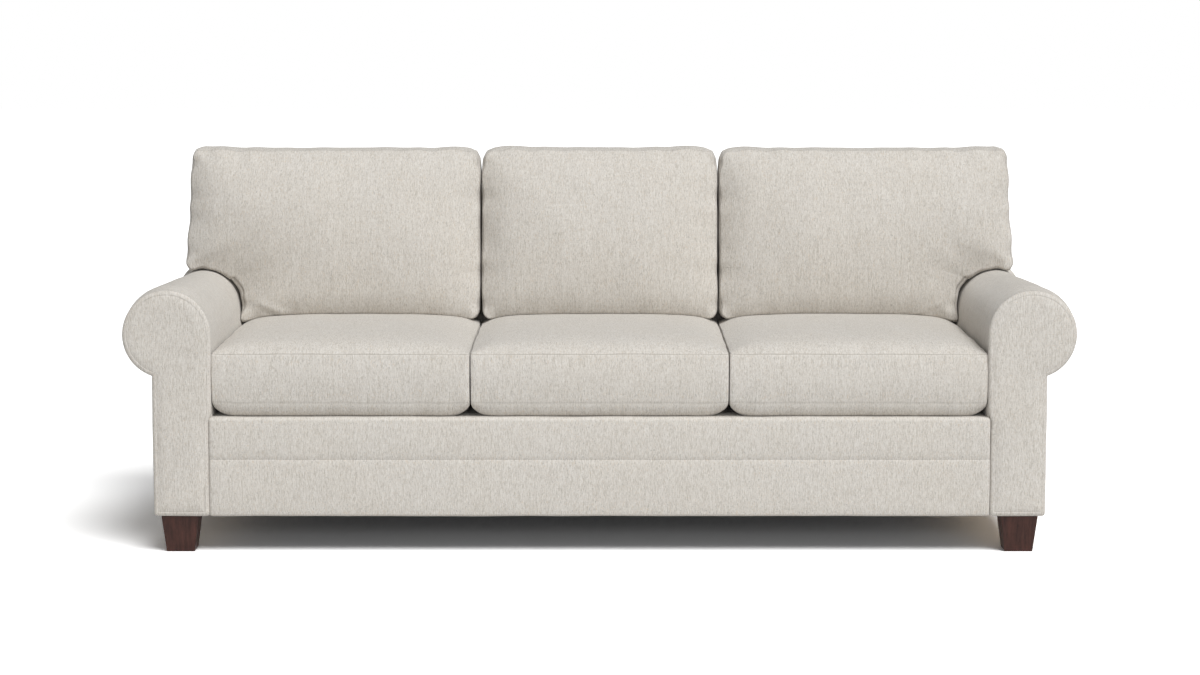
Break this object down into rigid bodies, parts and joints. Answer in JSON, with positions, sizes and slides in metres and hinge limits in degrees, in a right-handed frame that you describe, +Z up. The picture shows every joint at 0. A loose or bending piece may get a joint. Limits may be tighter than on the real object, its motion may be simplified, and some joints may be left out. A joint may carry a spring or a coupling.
{
  "type": "rolled arm sofa",
  "caption": "Upholstered sofa with rolled arms, loose seat cushions that pull out, loose back cushions with ears over the arms, a deep front border and square tapered wooden legs.",
  "frame": {"origin": "on the floor, under the middle of the sofa's outer box", "axes": "+Z up; the front of the sofa faces -Y; +X is to the right of someone standing in front of it"},
  "size_m": [2.309, 0.963, 0.9546],
  "materials": {
    "oatmeal_fabric": "matte",
    "walnut_stain": "satin",
    "frame_timber": "matte",
    "spring_steel": "satin",
    "webbing": "matte",
    "dust_cloth": "matte",
    "roll_foam": "matte"
  },
  "bodies": {
    "sofa": {"arm_base_rail_left": "frame_timber", "arm_base_rail_right": "frame_timber", "arm_front_board_left": "frame_timber", "arm_front_board_right": "frame_timber", "arm_front_panel_left": "oatmeal_fabric", "arm_front_panel_right": "oatmeal_fabric", "arm_pad_left": "oatmeal_fabric", "arm_pad_right": "oatmeal_fabric", "arm_rear_board_left": "frame_timber", "arm_rear_board_right": "frame_timber", "arm_roll_core_left": "roll_foam", "arm_roll_core_right": "roll_foam", "arm_tack_rail_left": "frame_timber", "arm_tack_rail_right": "frame_timber", "back_post_inner_left": "frame_timber", "back_post_inner_right": "frame_timber", "back_post_outer_left": "frame_timber", "back_post_outer_right": "frame_timber", "back_spacer_centre": "frame_timber", "back_spacer_left": "frame_timber", "back_spacer_right": "frame_timber", "back_top_rail": "frame_timber", "back_web_1": "webbing", "back_web_2": "webbing", "back_web_3": "webbing", "dust_cover": "dust_cloth", "front_border": "oatmeal_fabric", "front_rail": "frame_timber", "inside_back": "oatmeal_fabric", "leg_bolt_front_left": "spring_steel", "leg_bolt_front_right": "spring_steel", "leg_bolt_rear_left": "spring_steel", "leg_bolt_rear_right": "spring_steel", "leg_front_left": "walnut_stain", "leg_front_right": "walnut_stain", "leg_rear_left": "walnut_stain", "leg_rear_right": "walnut_stain", "outside_arm_panel_left": "oatmeal_fabric", "outside_arm_panel_right": "oatmeal_fabric", "outside_back": "oatmeal_fabric", "rear_rail": "frame_timber", "seat_deck": "oatmeal_fabric", "seat_springs_centre": "spring_steel", "seat_springs_left": "spring_steel", "seat_springs_right": "spring_steel", "seat_stretcher_left": "frame_timber", "seat_stretcher_right": "frame_timber", "side_rail_left": "frame_timber", "side_rail_right": "frame_timber"},
    "seat_left": {"seat_cushion_left": "oatmeal_fabric"},
    "seat_centre": {"seat_cushion_centre": "oatmeal_fabric"},
    "seat_right": {"seat_cushion_right": "oatmeal_fabric"},
    "back_left": {"back_cushion_left": "oatmeal_fabric"},
    "back_centre": {"back_cushion_centre": "oatmeal_fabric"},
    "back_right": {"back_cushion_right": "oatmeal_fabric"}
  },
  "joints": [
    {"name": "seat_left_pull", "type": "slide", "parent": "sofa", "child": "seat_left", "axis": [0, -1, 0], "range_m": [0, 0.8]},
    {"name": "seat_centre_pull", "type": "slide", "parent": "sofa", "child": "seat_centre", "axis": [0, -1, 0], "range_m": [0, 0.8]},
    {"name": "seat_right_pull", "type": "slide", "parent": "sofa", "child": "seat_right", "axis": [0, -1, 0], "range_m": [0, 0.8]},
    {"name": "back_left_lift", "type": "slide", "parent": "sofa", "child": "back_left", "axis": [0, 0, 1], "range_m": [0, 0.45]},
    {"name": "back_centre_lift", "type": "slide", "parent": "sofa", "child": "back_centre", "axis": [0, 0, 1], "range_m": [0, 0.45]},
    {"name": "back_right_lift", "type": "slide", "parent": "sofa", "child": "back_right", "axis": [0, 0, 1], "range_m": [0, 0.45]}
  ]
}
